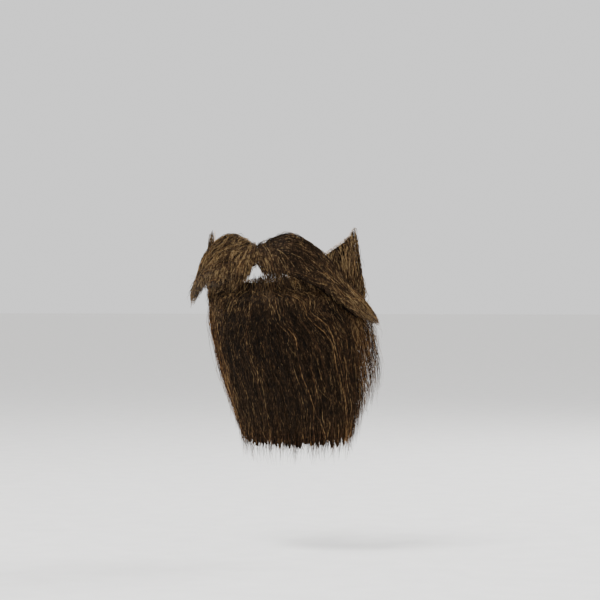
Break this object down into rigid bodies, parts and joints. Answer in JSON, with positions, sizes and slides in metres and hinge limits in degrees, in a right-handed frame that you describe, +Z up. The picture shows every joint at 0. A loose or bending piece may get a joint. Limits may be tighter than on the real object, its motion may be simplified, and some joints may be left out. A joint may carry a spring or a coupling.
{
  "type": "fake beard with moustache",
  "caption": "Long full false beard with sideburns and a wide swept moustache, brown hair in parted locks knotted on thin shaped lace foundations, held in its worn form.",
  "frame": {"origin": "the point of the chin, on the skin side of the beard lace, where the beard sits on its wearer", "axes": "+Z up the wearer's face, +Y back towards the wearer's neck, +X to the wearer's left"},
  "size_m": [0.1674, 0.0891, 0.1916],
  "materials": {
    "hair": "dark brown hair with lighter streaks, soft satin sheen along the strands",
    "lace": "skin-toned open net, matt"
  },
  "bodies": {
    "root": {"beard_lace": "lace", "moustache_lace": "lace", "chin_hair": "hair", "sideburn_hair_left": "hair", "sideburn_hair_right": "hair", "under_hair": "hair", "moustache_wing_left": "hair", "moustache_wing_right": "hair"}
  },
  "joints": []
}
